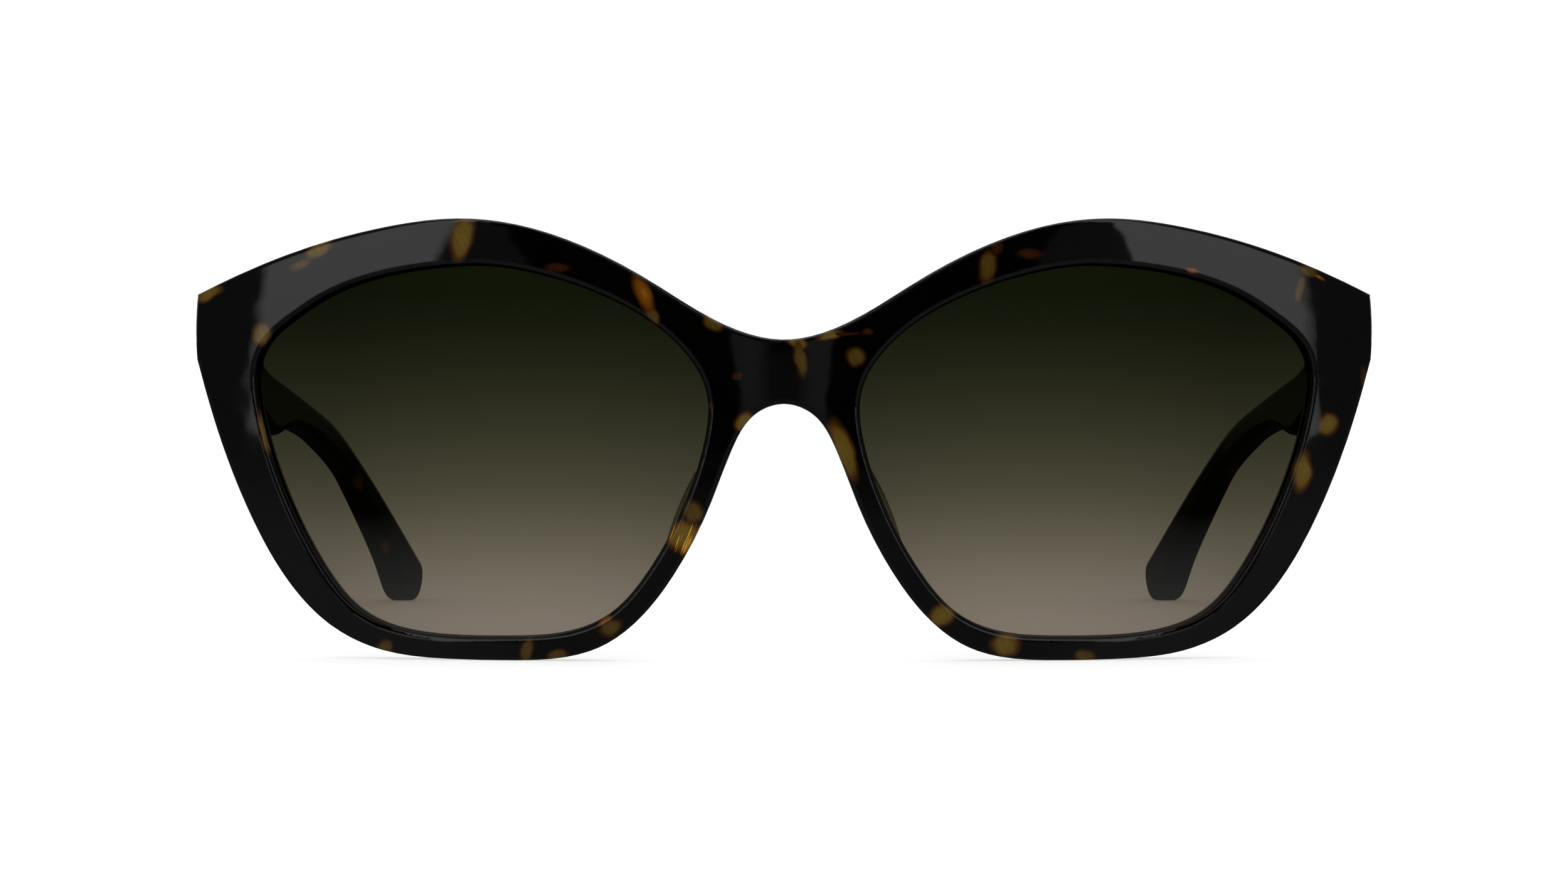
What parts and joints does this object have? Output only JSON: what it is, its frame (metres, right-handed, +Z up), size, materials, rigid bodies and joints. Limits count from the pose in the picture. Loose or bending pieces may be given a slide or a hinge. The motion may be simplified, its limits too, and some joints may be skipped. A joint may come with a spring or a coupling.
{
  "type": "cat eye sunglasses",
  "caption": "Folding cat eye sunglasses: thick dark tortoise acetate front with gradient lenses, built-up nose pads, and slim temples on five-knuckle hinges.",
  "frame": {"origin": "middle of the footprint, on the surface that the rims and temple tips stand on", "axes": "+Z up, +X towards the wearer's left, +Y back along the temples, so the front faces -Y"},
  "size_m": [0.146, 0.1492, 0.0538],
  "materials": {
    "tortoise_acetate": "polished near-black tortoise with amber and olive patches",
    "gradient_lens": "tinted, green-black above fading to warm taupe below",
    "pad_acetate": "polished clear smoke acetate",
    "core_wire_metal": "drawn nickel silver",
    "hinge_metal": "satin nickel silver",
    "screw_steel": "plain steel",
    "rivet_metal": "nickel silver"
  },
  "bodies": {
    "front": {"front_frame": "tortoise_acetate", "lens_left": "gradient_lens", "lens_right": "gradient_lens", "nose_pad_left": "pad_acetate", "nose_pad_right": "pad_acetate", "front_hinge_leaf_left": "hinge_metal", "front_hinge_leaf_right": "hinge_metal", "hinge_screw_left": "screw_steel", "hinge_screw_right": "screw_steel"},
    "left_temple": {"temple_left": "tortoise_acetate", "core_wire_left": "core_wire_metal", "temple_hinge_leaf_left": "hinge_metal", "temple_hinge_rivets_left": "rivet_metal"},
    "right_temple": {"temple_right": "tortoise_acetate", "core_wire_right": "core_wire_metal", "temple_hinge_leaf_right": "hinge_metal", "temple_hinge_rivets_right": "rivet_metal"}
  },
  "joints": [
    {"name": "left_temple_fold", "type": "hinge", "parent": "front", "child": "left_temple", "pos_m": [0.0677, -0.0576, 0.0365], "axis": [0, 0, 1], "range_deg": [0, 83]},
    {"name": "right_temple_fold", "type": "hinge", "parent": "front", "child": "right_temple", "pos_m": [-0.0677, -0.0576, 0.0365], "axis": [0, 0, -1], "range_deg": [0, 89]}
  ]
}
